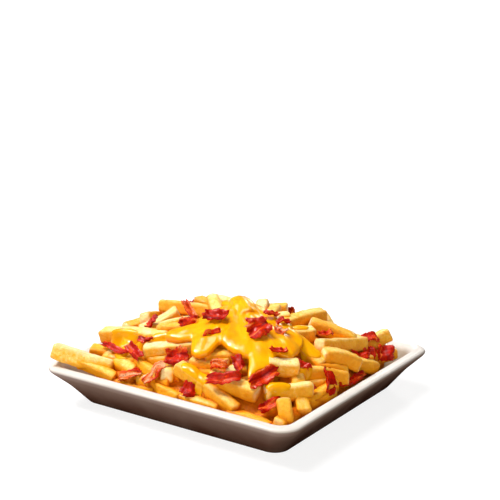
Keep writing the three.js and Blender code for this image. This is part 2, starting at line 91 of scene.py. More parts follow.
# The fries that show on the near side: (free end, other end, width)
SHOWN_FRIES = [
    ((-77.5, -66, 29.5), (-43, -56, 23), 9.4),
    ((-62, -63, 25), (-38, -61.5, 19.5), 7),
    ((-67, -38, 32), (-24, -34, 37), 8.5),
    ((-65, -50, 27), (-50, -45, 24), 7.5),
    ((-46, -54, 25), (-60, -30, 23), 8),
    ((-27, -50, 34), (6, -35, 40), 9),
    ((-36, -42, 34), (-10, -28, 41), 7),
    ((-37, -52, 25), (-8, -46, 31), 8),
    ((-37, -50, 25), (-14, -60, 20), 8),
    ((-5, -59, 28), (-14, -40, 24), 8.5),
    ((-44, -62, 17), (-10, -61, 17.5), 7.5),
    ((-26, -56, 24), (6, -62, 18.5), 7.5),
    ((-1, -55.5, 33), (39, -59, 18.5), 8),
    ((-4, -60, 18), (30, -60, 18), 8),
    ((46, -50, 26), (18, -53, 30.5), 8.5),
    ((48.5, -48, 27), (65, -29, 27), 8.5),
    ((60, -49, 27), (66, -55, 16), 8),
    ((47, -20, 33.5), (68, -42, 17.5), 8),
    ((42, -36, 37), (54, -25, 35), 9),
    ((55, -4, 35), (67, 14, 27), 9),
    ((50, 1, 38), (57, 37, 30), 8.5),
    ((33, 18, 42), (55, 31, 32), 8.5),
    ((23, 4, 42), (32, 36, 42), 8),
    ((26, 41, 40), (41, 30, 33), 8),
    ((53, -22, 30), (69, -1, 24), 8.5),
    ((56, -25, 24), (63, -8, 23), 8),
    ((63, -34, 20), (67, -12, 20), 8),
    ((61, 14, 26), (67, 33, 19), 8),
    ((62, 57, 31), (46, 30, 17), 8),
    ((68.5, 53, 22.5), (52, 24, 18), 6.5),
    ((-57, 3, 40), (-18, 0, 44), 8),
    ((-36, -8, 43), (-50, -25, 33), 8),
    ((-33, -31, 39), (-14, -22, 42), 8.5),
    ((-24, 7, 49), (-8, -8, 43), 7.5),
    ((1, 22, 47), (7, 4, 44), 8),
    ((10, 21, 46), (15, 3, 44), 7),
    ((24, 14, 45), (10, 4, 43), 7),
    ((8, -44, 37), (26, -32, 38), 8.5),
    ((2, -48, 33), (22, -41, 34), 9),
    ((29, -49, 33), (24, -32, 30), 7.5),
    ((36, -6, 42), (57, -6, 30), 9),
    ((38, 52, 19), (64, 44, 17), 8),
    ((30, 42, 22), (58, 52, 15), 8),
    ((34, -60, 16), (60, -60, 14), 8),
    ((64, -60, 17), (64, -28, 16), 8),
]
# The ribbons of sauce as seen from above, (x, y, half width) along each
POURS = [
    [(-5, 5, 4.5), (0, -4, 7.5), (9, -18, 13), (24, -20, 14), (37, -14, 11)],
    [(-1, -6, 6), (-2, -20, 8), (-3, -33, 8.5), (-9, -39.5, 6), (-15, -42, 3.4)],
    [(6, -28, 9.5), (6, -38, 9), (7.5, -44.5, 7)],
    [(33, -26, 9), (38.5, -36, 7), (41.5, -43, 5.5), (42.5, -47.5, 4.4)],
    [(14, -28, 9), (21, -33, 8), (29, -36, 6)],
    [(36, -12, 8), (41, -17, 8), (44.5, -22.5, 6.2)],
]
# Drops of sauce on single fries: ((x, y, z), half sizes, heading in degrees)
SAUCE_DROPS = [
    ((-38, -48, 35), (9, 5.5, 3), 20),
    ((9, -57, 34), (7, 5.5, 3), -20),
    ((53, -44, 31), (7, 5.5, 3), 40),
    ((31, 7, 43.5), (8, 4.5, 3.2), 10),
]

# The photograph's camera
CAMERA_EYE = (397.2, -569.2, 278.6)
CAMERA_HEADING = 34.458
CAMERA_PITCH = 15.749
CAMERA_LENS = 96.2

# The repeatable stream that the solids' scattered fries come from
STREAM_FACTOR = 16807
STREAM_SIZE = 2147483647
stream = 41


def draw(low, high):
    """The next value of the stream."""
    global stream
    stream = (stream * STREAM_FACTOR) % STREAM_SIZE
    return low + (high - low) * stream / STREAM_SIZE


# Meshes


def in_scene(name, data):
    """A new object in the scene."""
    made = bpy.data.objects.new(name, data)
    bpy.context.scene.collection.objects.link(made)
    return made


def mesh_piece(name, points, faces, material, nodes, marks=None):
    """A smooth-shaded piece that stands for the given nodes, from points in millimetres and faces."""
    mesh = bpy.data.meshes.new(name)
    mesh.from_pydata(np.asarray(points) * MM, [], faces)
    for mark, values in (marks or {}).items():
        values = np.asarray(values, dtype=float)
        kind = "FLOAT_VECTOR" if values.ndim == 2 else "FLOAT"
        layer = mesh.attributes.new(mark, kind, "POINT")
        layer.data.foreach_set("vector" if values.ndim == 2 else "value", values.ravel())
    mesh.polygons.foreach_set("use_smooth", [True] * len(mesh.polygons))
    mesh.materials.append(material)
    piece = in_scene(name, mesh)
    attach(piece, "root")
    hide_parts(*nodes)
    return piece


def loft_faces(rings, around):
    """Faces over rings of points, with a fan at each end about the two points that follow the rings."""
    faces = []
    for ring in range(rings - 1):
        for i in range(around):
            a = ring * around + i
            b = ring * around + (i + 1) % around
            faces.append((a, b, b + around, a + around))
    start_middle = rings * around
    last = (rings - 1) * around
    for i in range(around):
        j = (i + 1) % around
        faces.append((start_middle, j, i))
        faces.append((start_middle + 1, last + i, last + j))
    return faces


def joined(parts):
    """Several meshes' points, faces and marks as one."""
    faces = []
    first = 0
    for points, part_faces, _ in parts:
        faces.extend(tuple(first + i for i in face) for face in part_faces)
        first += len(points)
    points = np.concatenate([part[0] for part in parts])
    marks = {name: np.concatenate([part[2][name] for part in parts]) for name in parts[0][2]}
    return points, faces, marks


def noise_at(points, size, shift, kind=noise.noise):
    """Smooth noise between about -1 and 1, with features of that size in millimetres."""
    offset = Vector((shift, 1.7 * shift, -shift))
    return np.array([kind(Vector(point) / size + offset) for point in points])


def soft_square(angles, squareness):
    """Distance to the edge of a square with soft corners, at each angle about its middle."""
    total = np.abs(np.cos(angles)) ** squareness + np.abs(np.sin(angles)) ** squareness
    return total ** (-1 / squareness)


def point_normals(points, faces):
    """Unit normals at the points."""
    corners = np.array([face[:3] for face in faces])
    first, second, third = (points[corners[:, i]] for i in range(3))
    facing = np.cross(second - first, third - first)
    normals = np.zeros_like(points)
    for i in range(3):
        np.add.at(normals, corners[:, i], facing)
    return normals / np.maximum(np.linalg.norm(normals, axis=1), 1e-9)[:, None]


def evened(values, faces, passes):
    """Values at the points, each averaged with its neighbours' that many times."""
    sides = np.array([(face[i - 1], face[i]) for face in faces for i in range(len(face))])
    for _ in range(passes):
        totals = values.copy()
        counts = np.ones(len(values))
        np.add.at(totals, sides[:, 0], values[sides[:, 1]])
        np.add.at(counts, sides[:, 0], 1)
        values = totals / counts
    return values


def solid_mesh(name, voxel, smoothing):
    """Points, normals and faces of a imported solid, remeshed evenly and smoothed, in millimetres."""
    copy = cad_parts[name].copy()
    copy.data = copy.data.copy()
    bpy.context.scene.collection.objects.link(copy)
    remesh = copy.modifiers.new("remesh", "REMESH")
    remesh.mode = "VOXEL"
    remesh.voxel_size = voxel * MM
    smooth = copy.modifiers.new("smooth", "SMOOTH")
    smooth.factor = 0.5
    smooth.iterations = smoothing
    evaluated = copy.evaluated_get(bpy.context.evaluated_depsgraph_get())
    mesh = evaluated.to_mesh()
    points = np.empty(3 * len(mesh.vertices))
    mesh.vertices.foreach_get("co", points)
    normals = np.empty(3 * len(mesh.vertices))
    mesh.vertices.foreach_get("normal", normals)
    faces = [tuple(face.vertices) for face in mesh.polygons]
    evaluated.to_mesh_clear()
    data = copy.data
    bpy.data.objects.remove(copy)
    bpy.data.meshes.remove(data)
    return points.reshape(-1, 3) / MM, normals.reshape(-1, 3), faces


# Materials


def shader(name):
    """A new material, its node tree and surface shader, and the place in metres that textures follow."""
    material = bpy.data.materials.new(name)
    material.use_nodes = True
    tree = material.node_tree
    return material, tree, tree.nodes["Principled BSDF"], node(tree, "ShaderNodeTexCoord").outputs["Object"]


def feed(socket, value):
    """Gives an input a constant, a colour or another node's output."""
    if isinstance(value, bpy.types.NodeSocket):
        socket.id_data.links.new(value, socket)
    elif socket.type == "RGBA":
        socket.default_value = (*value, 1)
    else:
        socket.default_value = value


def settings(made, **inputs):
    """Feeds the inputs of a node."""
    for name, value in inputs.items():
        feed(made.inputs[name.replace("_", " ")], value)


def node(tree, kind, options=None, **inputs):
    """A node of that kind with its options and inputs."""
    made = tree.nodes.new(kind)
    for name, value in (options or {}).items():
        setattr(made, name, value)
    settings(made, **inputs)
    return made


def mark_of(tree, name, output="Fac"):
    """A mark that the mesh carries at its points."""
    return node(tree, "ShaderNodeAttribute", {"attribute_name": name}).outputs[output]


def texture_noise(tree, vector, scale, detail=3.0, roughness=0.5, distortion=0.0):
    """Noise from 0 to 1 with that many features to the metre."""
    values = {"Scale": scale, "Detail": detail, "Roughness": roughness, "Distortion": distortion}
    return node(tree, "ShaderNodeTexNoise", Vector=vector, **values).outputs["Fac"]


def ramp(tree, factor, stops):
    """Colours, or greys where a stop holds a number, against a factor."""
    made = node(tree, "ShaderNodeValToRGB", Fac=factor)
    elements = made.color_ramp.elements
    while len(elements) < len(stops):
        elements.new(0.5)
    for element, (place, value) in zip(elements, stops):
        element.position = place
        element.color = (value, value, value, 1) if isinstance(value, (int, float)) else (*value, 1)
    return made.outputs["Color"]


def mixed(tree, factor, first, second, blend="MIX"):
    """The first colour with a share of the second."""
    made = node(tree, "ShaderNodeMix", {"data_type": "RGBA", "blend_type": blend})
    for i, value in ((0, factor), (6, first), (7, second)):
        feed(made.inputs[i], value)
    return made.outputs[2]


def arithmetic(tree, operation, first, second):
    """One sum of two numbers or outputs."""
    made = node(tree, "ShaderNodeMath", {"operation": operation})
    for socket, value in zip(made.inputs, (first, second)):
        feed(socket, value)
    return made.outputs[0]


def bump(tree, surface, height, depth, strength):
    """Relief of that depth in millimetres on the surface shader."""
    made = node(tree, "ShaderNodeBump", Height=height, Distance=depth * MM, Strength=strength)
    settings(surface, Normal=made.outputs["Normal"])


def outer_glaze_and_painted_shade(tree, up_the_wall):
    """Cream glaze at the lip, browner towards the foot as painted shade and painted reflection of a dark
    table, and darker on the side on the camera's right as painted shade.
    """
    # Painted shade and painted reflection of a dark table: the glaze browns towards the foot.
    stops = [
        (0.0, (0.022, 0.007, 0.003)),
        (0.3, (0.060, 0.026, 0.017)),
        (0.75, (0.135, 0.083, 0.064)),
        (0.90, (0.24, 0.17, 0.145)),
        (0.985, (0.65, 0.605, 0.56)),
    ]
    glaze_and_painted_shade = ramp(tree, up_the_wall, stops)
    # Painted shade: the side on the camera's right is multiplied darker.
    painted_shade = mixed(tree, 1.0, glaze_and_painted_shade, (0.42, 0.36, 0.32), "MULTIPLY")
    return mixed(tree, mark_of(tree, "painted_shade"), glaze_and_painted_shade, painted_shade)


def inner_glaze_and_painted_shade(tree, up_the_wall):
    """Pale glaze, with painted shade and a painted warm reflection of the food towards the bottom."""
    stops = [(0.3, (0.36, 0.26, 0.13)), (0.85, (0.42, 0.345, 0.27)), (0.97, (0.65, 0.615, 0.58))]
    return ramp(tree, up_the_wall, stops)


def porcelain_material():
    """Glazed porcelain: a slight mottle, a glossier lip, and painted shade and painted reflection on its
    walls.
    """
    material, tree, surface, place = shader("porcelain_glaze")
    height = node(tree, "ShaderNodeSeparateXYZ", Vector=place).outputs["Z"]
    up_the_wall = arithmetic(tree, "DIVIDE", height, DISH_HEIGHT * MM)
    inside = inner_glaze_and_painted_shade(tree, up_the_wall)
    outside = outer_glaze_and_painted_shade(tree, up_the_wall)
    colour = mixed(tree, mark_of(tree, "outer"), inside, outside)
    mottle = texture_noise(tree, place, 60.0, detail=2.0)
    colour = mixed(tree, ramp(tree, mottle, [(0.35, 0.0), (0.7, 0.08)]), colour, (0.30, 0.22, 0.17))
    lip = ramp(tree, up_the_wall, [(0.9, 0.0), (0.97, 0.16)])
    settings(surface, Base_Color=colour, Coat_Weight=lip, Coat_Roughness=0.06)
    settings(surface, Roughness=0.3, Specular_IOR_Level=0.0)
    bump(tree, surface, mottle, 0.05, 0.4)
    return material


def browning_and_side_shade(tree, place):
    """How browned the skin is, in patches and blisters and from fry to fry, with painted shade that makes
    steep sides warmer and darker than the tops.
    """
    patches = texture_noise(tree, place, 170.0, roughness=0.6)
    tone = mark_of(tree, "tone")
    # Painted shade: faces that lean away from upright are warmer and darker than the tops.
    normal = node(tree, "ShaderNodeNewGeometry").outputs["Normal"]
    upright = node(tree, "ShaderNodeSeparateXYZ", Vector=normal).outputs["Z"]
    side = ramp(tree, upright, [(0.25, 1.0), (0.8, 0.0)])
    blisters = texture_noise(tree, place, 560.0, detail=2.0)
    browning_and_shade = arithmetic(tree, "MULTIPLY", patches, 0.45)
    for mark, share in ((tone, 0.30), (side, 0.22), (blisters, 0.34)):
        browning_and_shade = arithmetic(tree, "ADD", browning_and_shade, arithmetic(tree, "MULTIPLY", mark, share))
    return browning_and_shade


def fry_material():
    """Fried potato: golden skin, pale cut ends, browned edges, freckles, and painted shade in deep orange
    in the gaps.
    """
    material, tree, surface, place = shader("fried_potato")
    stops = [
        (0.32, (0.98, 0.82, 0.46)),
        (0.50, (0.96, 0.67, 0.20)),
        (0.67, (0.93, 0.46, 0.035)),
        (0.88, (0.86, 0.33, 0.010)),
    ]
    skin = ramp(tree, browning_and_side_shade(tree, place), stops)
    skin = mixed(tree, mark_of(tree, "cut"), skin, (1.0, 0.80, 0.40))
    uneven = texture_noise(tree, place, 420.0)
    browning = arithmetic(tree, "MULTIPLY", mark_of(tree, "edge"), uneven)
    skin = mixed(tree, browning, skin, (0.72, 0.30, 0.04))
    freckles = ramp(tree, texture_noise(tree, place, 1300.0, detail=2.0), [(0.62, 0.0), (0.72, 0.5)])
    skin = mixed(tree, freckles, skin, (0.62, 0.26, 0.04))
    # Painted shade: deep orange where the heap closes in, darker still where it closes in most, with some
    # soaking on points low in the dish.
    deep = mark_of(tree, "deep")
    skin = mixed(tree, ramp(tree, deep, [(0.0, 0.0), (0.5, 0.9)]), skin, (0.95, 0.37, 0.004))
    skin = mixed(tree, ramp(tree, deep, [(0.5, 0.0), (1.0, 0.9)]), skin, (0.62, 0.13, 0.0))
    settings(surface, Base_Color=skin)
    settings(surface, Roughness=0.4, Specular_IOR_Level=0.05, Coat_Weight=0.05, Coat_Roughness=0.1)
    settings(surface, Subsurface_Weight=0.2, Subsurface_Radius=(1.0, 0.4, 0.1), Subsurface_Scale=2 * MM)
    crust = texture_noise(tree, place, 650.0, detail=4.0, roughness=0.65)
    bump(tree, surface, crust, 0.85, 1.0)
    return material


def cheese_material():
    """Cheddar sauce: glossy, with a slow swirl of colour, and deeper orange where it is steep: partly its
    denser colour at the edges, partly painted shade.
    """
    material, tree, surface, place = shader("cheddar_sauce")
    swirl = texture_noise(tree, place, 90.0, detail=2.0, distortion=0.6)
    stops = [(0.3, (0.84, 0.31, 0.0)), (0.55, (0.90, 0.39, 0.0)), (0.75, (0.93, 0.44, 0.001))]
    colour = ramp(tree, swirl, stops)
    # Deeper orange on steep faces: partly the sauce's denser colour, partly painted shade.
    colour = mixed(tree, mark_of(tree, "steep_tone_and_shade"), colour, (0.78, 0.22, 0.0))
    settings(surface, Base_Color=colour)
    settings(surface, Roughness=0.25, Specular_IOR_Level=0.1, Coat_Weight=0.25, Coat_Roughness=0.03)
    settings(surface, Subsurface_Weight=0.2, Subsurface_Radius=(1.0, 0.5, 0.05), Subsurface_Scale=3 * MM)
    bump(tree, surface, texture_noise(tree, place, 200.0, detail=1.0), 0.25, 0.3)
    return material


def bacon_material():
    """Crisp bacon: dark red meat with paler streaks along its grain, more of them where its fat shows."""
    material, tree, surface, place = shader("crisp_bacon")
    grain = mark_of(tree, "grain", "Vector")
    streaks = texture_noise(tree, grain, 1.0, roughness=0.55, distortion=0.5)
    fat = arithmetic(tree, "MULTIPLY", mark_of(tree, "fat"), 0.2)
    stops = [
        (0.30, (0.22, 0.001, 0.0)),
        (0.45, (0.46, 0.006, 0.0)),
        (0.56, (0.60, 0.022, 0.0)),
        (0.66, (0.80, 0.14, 0.012)),
        (0.77, (0.92, 0.45, 0.24)),
    ]
    meat = ramp(tree, arithmetic(tree, "ADD", streaks, fat), stops)
    speckle = texture_noise(tree, place, 1500.0)
    colour = mixed(tree, ramp(tree, speckle, [(0.3, 0.6), (0.52, 0.0)]), meat, (0.10, 0.002, 0.0))
    settings(surface, Base_Color=colour)
    settings(surface, Roughness=0.35, Specular_IOR_Level=0.05, Coat_Weight=0.1, Coat_Roughness=0.03)
    bump(tree, surface, texture_noise(tree, place, 1100.0, detail=4.0, roughness=0.7), 0.5, 0.8)
    return material


def floor_material():
    """A pale floor that glows a little, so that shadows on it stay light."""
    material, tree, surface, place = shader("pale_floor")
    grain = texture_noise(tree, place, 3.0)
    settings(surface, Base_Color=ramp(tree, grain, [(0.3, 0.22), (0.7, 0.24)]), Roughness=0.7)
    settings(surface, Emission_Color=(1.0, 1.0, 1.0), Emission_Strength=0.84)
    return material


# The dish

CORNER_STEPS = 10
STEPS_PER_STATION = 3
# Half the usual slope through the stations keeps the curve close to the solid's straight walls.
STATION_SLOPE = 0.25


def section_stations():
    """The dish's section, rounded between its named stations, and how far each is on the outside."""
    section = np.array(OUTER_SECTION + INNER_SECTION, dtype=float)
    outside = np.array([1.0] * len(OUTER_SECTION) + [0.0] * len(INNER_SECTION))
    stations = []
    for i in range(len(section) - 1):
        slope_start = STATION_SLOPE * (section[i + 1] - section[max(i - 1, 0)])
        slope_end = STATION_SLOPE * (section[min(i + 2, len(section) - 1)] - section[i])
        for step in range(STEPS_PER_STATION):
            t = step / STEPS_PER_STATION
            station = (
                (2 * t**3 - 3 * t**2 + 1) * section[i]
                + (t**3 - 2 * t**2 + t) * slope_start
                + (3 * t**2 - 2 * t**3) * section[i + 1]
                + (t**3 - t**2) * slope_end
            )
            station[:2] = np.maximum(station[:2], 0)
            stations.append((*station, outside[i] + t * (outside[i + 1] - outside[i])))
    stations.append((*section[-1], 0.0))
    return stations


def dish_ring(inset, radius):
    """One ring of the dish in plan: (x, y, how much painted shade its outside takes, as far as it faces the
    camera's right).
    """
    ring = []
    for side_x, side_y, start in ((1, 1, 0), (-1, 1, 90), (-1, -1, 180), (1, -1, 270)):
        for step in range(CORNER_STEPS + 1):
            angle = math.radians(start + 90 * step / CORNER_STEPS)
            x = side_x * (DISH_LENGTH / 2 - inset - radius) + radius * math.cos(angle)
            y = side_y * (DISH_WIDTH / 2 - inset - radius) + radius * math.sin(angle)
            ring.append((x, y, max(0.0, math.cos(angle))))
    return ring


def dish_piece(porcelain):
    """The porcelain dish, closed over its base inside and underneath."""
    stations = section_stations()
    rows = []
    for inset, z, radius, outside in stations:
        rows += [(x, y, z, outside, painted_shade) for x, y, painted_shade in dish_ring(inset, radius)]
    rows = np.array([*rows, (0, 0, stations[0][1], 1, 0), (0, 0, stations[-1][1], 0, 0)])
    # Painted shade on the outside, by each ring point's facing.
    marks = {"outer": rows[:, 3], "painted_shade": rows[:, 4]}
    faces = loft_faces(len(stations), 4 * (CORNER_STEPS + 1))
    return mesh_piece("porcelain_dish", rows[:, :3], faces, porcelain, ["dish"], marks)


# The heap's form, as the solids have it


def mound_share(x, y):
    """How far out on the mound a point is in plan, from 0 in its middle to 1 at its foot."""
    along_x = np.abs((x - MOUND_MIDDLE[0]) / MOUND_HALF[0]) ** MOUND_SQUARENESS
    along_y = np.abs((y - MOUND_MIDDLE[1]) / MOUND_HALF[1]) ** MOUND_SQUARENESS
    return np.minimum(1, (along_x + along_y) ** (1 / MOUND_SQUARENESS))


def mound_height(x, y):
    """Height of the mound's skin."""
    return MOUND_EDGE + (MOUND_PEAK - MOUND_EDGE) * (1 - mound_share(x, y) ** 2) ** MOUND_FULLNESS


def on_mound(share_x, share_y):
    """A point in plan at those shares of the mound's half sizes."""
    return MOUND_MIDDLE[0] + share_x * MOUND_HALF[0], MOUND_MIDDLE[1] + share_y * MOUND_HALF[1]


def sauce_edge(x, y):
    """Plan distance to the nearest ribbon's edge, negative within it."""
    nearest = math.inf
    for pour in POURS:
        for (start_x, start_y, start_half), (end_x, end_y, end_half) in zip(pour, pour[1:]):
            span_x = end_x - start_x
            span_y = end_y - start_y
            along = ((x - start_x) * span_x + (y - start_y) * span_y) / (span_x**2 + span_y**2)
            share = min(1, max(0, along))
            away = math.hypot(x - start_x - share * span_x, y - start_y - share * span_y)
            nearest = min(nearest, away - start_half - share * (end_half - start_half))
    return nearest


def lies_in_dish(point, room_x=WALL_ROOM, room_y=WALL_ROOM):
    """Whether a fry's end clears the leaning inner wall, with that room to it along each axis."""
    upper, lower = INNER_SECTION[4], INNER_SECTION[5]
    share = (upper[1] - (point[2] - FRY_WIDTH / 2)) / (upper[1] - lower[1])
    inset = upper[0] + min(1, max(0, share)) * (lower[0] - upper[0])
    clear_x = abs(point[0]) < DISH_LENGTH / 2 - inset - room_x
    clear_y = abs(point[1]) < DISH_WIDTH / 2 - inset - room_y
    return clear_x and clear_y


def least_distance(start, end, fries):
    """Least distance from a new centre line to the centre lines of the fries."""
    starts = np.array([fry[0] for fry in fries])
    ends = np.array([fry[1] for fry in fries])
    probes = start + np.linspace(0, 1, 11)[:, None] * (end - start)
    spans = ends - starts
    share = np.einsum("pfk,fk->pf", probes[:, None] - starts, spans) / np.sum(spans**2, axis=1)
    nearest = starts + np.clip(share, 0, 1)[..., None] * spans
    return np.sqrt(np.min(np.sum((probes[:, None] - nearest) ** 2, axis=2)))


def ends_on_mound(x, y, heading, half, depth, lift_at_foot, tilt=0):
    """A fry's two ends at that depth under the mound's skin, lifted where the mound meets the walls."""
    ends = []
    for way in (-1, 1):
        end_x = x + way * half * math.cos(heading)
        end_y = y + way * half * math.sin(heading)
        lift = lift_at_foot * mound_share(end_x, end_y) ** 4 + way * tilt
        ends.append(np.array([end_x, end_y, mound_height(end_x, end_y) - depth + lift]))
    return ends


# Degrees of roll, millimetres of bow and tilt, and shares of the usual width, as in the solids
SHOWN_ROLL = 16
SCATTERED_ROLL = 20
SCATTERED_TILT = 3
SCATTERED_WIDTHS = (0.85, 1.12)
FRY_BOW = 1.2
ROOM_TO_SAUCE = 2


def shown_fries():
    """The fries placed from the photograph: (start, end, width, roll in degrees, bow)."""
    fries = []
    for start, end, width in SHOWN_FRIES:
        roll = draw(-SHOWN_ROLL, SHOWN_ROLL)
        bow = draw(-FRY_BOW, FRY_BOW)
        fries.append((*np.array((start, end), dtype=float), width, roll, bow))
    return fries


def upper_fries():
    """The heap's fries, as the solids have them: the shown ones, then those scattered over the rest."""
    fries = shown_fries()
    most = len(fries) + MOST_SCATTERED
    for depth, lengths, tries in SCATTER_ROUNDS:
        for _ in range(tries):
            if len(fries) >= most:
                break
            x, y = on_mound(draw(-1, 1), draw(-1, 1))
            heading = draw(0, math.pi)
            half = draw(*lengths) / 2
            width = FRY_WIDTH * draw(*SCATTERED_WIDTHS)
            tilt = draw(-SCATTERED_TILT, SCATTERED_TILT)
            roll = draw(-SCATTERED_ROLL, SCATTERED_ROLL)
            bow = draw(-FRY_BOW, FRY_BOW)
            ends = ends_on_mound(x, y, heading, half, depth, FRY_LIFT_AT_FOOT, tilt)
            if least_distance(*ends, fries) <= FRY_SPACING * FRY_WIDTH:
                continue
            if all(lies_in_dish(end) for end in ends) and sauce_edge(x, y) > ROOM_TO_SAUCE:
                fries.append((*ends, width, roll, bow))
    return fries


# The lower fries, which show between the upper ones and are only in the scene

# Each round is (most of them, least share of the mound that they lie at, (shortest, longest), depth of
# their centre lines, whether they lie along the nearest wall).
LOWER_ROUNDS = [
    (60, 0.9, (14, 28), 9.0, False),
    (60, 0.7, (18, 32), 10.5, False),
    (50, 0.0, (26, 44), 11.0, False),
    (40, 0.0, (26, 44), 15.5, False),
    (60, 0.8, (10, 26), 14.5, True),
]
LOWER_TRIES = 5000
LOWER_LIFT_AT_FOOT = 6.5
LOWER_SPACING = 0.5  # least distance between centre lines, in fry widths
WALL_SPACING = 0.28  # the same along the walls
WALL_SKEW = 0.14  # radians off the wall's direction at most
LOWER_WIDTHS = (0.85, 1.05)
LOWER_ROLL = 20
LOWER_BOW = 1
LOWER_ROOM_TO_SAUCE = 3
CUT_END_ROOM = 0.6
NEAR_SIDE = 42


def toward_camera(x, y):
    """How far a point is from the middle of the dish towards the camera, in plan."""
    heading = math.radians(CAMERA_HEADING)
    return x * math.sin(heading) - y * math.cos(heading)


def along_nearest_wall(x, y):
    """The direction of the wall that a point of the mound is nearest."""
    share_x, share_y = abs(x - MOUND_MIDDLE[0]) / MOUND_HALF[0], abs(y - MOUND_MIDDLE[1]) / MOUND_HALF[1]
    return math.pi / 2 if share_x > share_y else 0.0


def has_room(ends, heading):
    """Whether a fry clears the walls, by half its width beside it and by nearly nothing at its cut ends."""
    room_x = CUT_END_ROOM + FRY_WIDTH / 2 * abs(math.sin(heading))
    room_y = CUT_END_ROOM + FRY_WIDTH / 2 * abs(math.cos(heading))
    return all(lies_in_dish(end, room_x, room_y) for end in ends)


def lower_fries():
    """Fries that lie half in the core, in the same form as the upper ones."""
    chance = np.random.default_rng(7)
    fries = []
    for count, least_share, lengths, depth, along_wall in LOWER_ROUNDS:
        most = len(fries) + count
        spacing = (WALL_SPACING if along_wall else LOWER_SPACING) * FRY_WIDTH
        for _ in range(LOWER_TRIES):
            if len(fries) >= most:
                break
            x, y = on_mound(chance.uniform(-1, 1), chance.uniform(-1, 1))
            heading = chance.uniform(0, math.pi)
            if along_wall:
                heading = along_nearest_wall(x, y) + chance.uniform(-WALL_SKEW, WALL_SKEW)
            half = chance.uniform(*lengths) / 2
            if mound_share(x, y) < least_share or sauce_edge(x, y) < LOWER_ROOM_TO_SAUCE:
                continue
            # On the near side the fries placed from the photograph fill the edge of the heap.
            if least_share > 0 and toward_camera(x, y) > NEAR_SIDE:
                continue
            ends = ends_on_mound(x, y, heading, half, depth, LOWER_LIFT_AT_FOOT)
            if not has_room(ends, heading):
                continue
            if fries and least_distance(*ends, fries) < spacing:
                continue
            width = FRY_WIDTH * chance.uniform(*LOWER_WIDTHS)
            roll = chance.uniform(-LOWER_ROLL, LOWER_ROLL)
            fries.append((*ends, width, roll, chance.uniform(-LOWER_BOW, LOWER_BOW)))
    return fries


# The mesh of a fry

# Its end: (distance from the tip, share of the section) from its flat cut face to the full section
FRY_END = [(0.0, 0.40), (0.05, 0.76), (0.28, 0.88), (0.8, 0.96), (1.7, 1.0)]
CUT_FACE = 0.85  # rings with a smaller share of the section are on the flat cut face
CUT_LENGTH = 1.8  # how far from the tip the cut's slant and paleness reach
CUT_SLANT = 0.16
FRY_AROUND = 28
LOWER_AROUND = 20
FRY_STEP = 2.4
FRY_SQUARENESS = 6.5
FRY_FLATNESS = (0.93, 1.0)
FRY_TWIST = 7
FRY_SWAY = 0.9
# Dents are (their size, their depth), and the fry is drawn in a little so that they don't make it fatter.
DENTS = [(4.0, 0.34), (1.6, 0.16)]
DRAWN_IN = 0.08


def fry_stations(length):
    """(distance from its start, share of the section) for each ring along a fry."""
    tip = FRY_END[-1][0]
    steps = max(3, round((length - 2 * tip) / FRY_STEP))
    inner = [(away, 1.0) for away in np.linspace(tip, length - tip, steps + 1)[1:-1]]
    return FRY_END + inner + [(length - away, size) for away, size in reversed(FRY_END)]


def dented(points, start, axis, length, number):
    """A fry's points with its dents, in and out from its centre line."""
    outward = points - (start + np.clip((points - start) @ axis, 0, length)[:, None] * axis)
    outward /= np.maximum(np.linalg.norm(outward, axis=1), 1e-6)[:, None]
    dents = sum(depth * noise_at(points, size, number) for size, depth in DENTS)
    return points + outward * (dents - DRAWN_IN)[:, None]


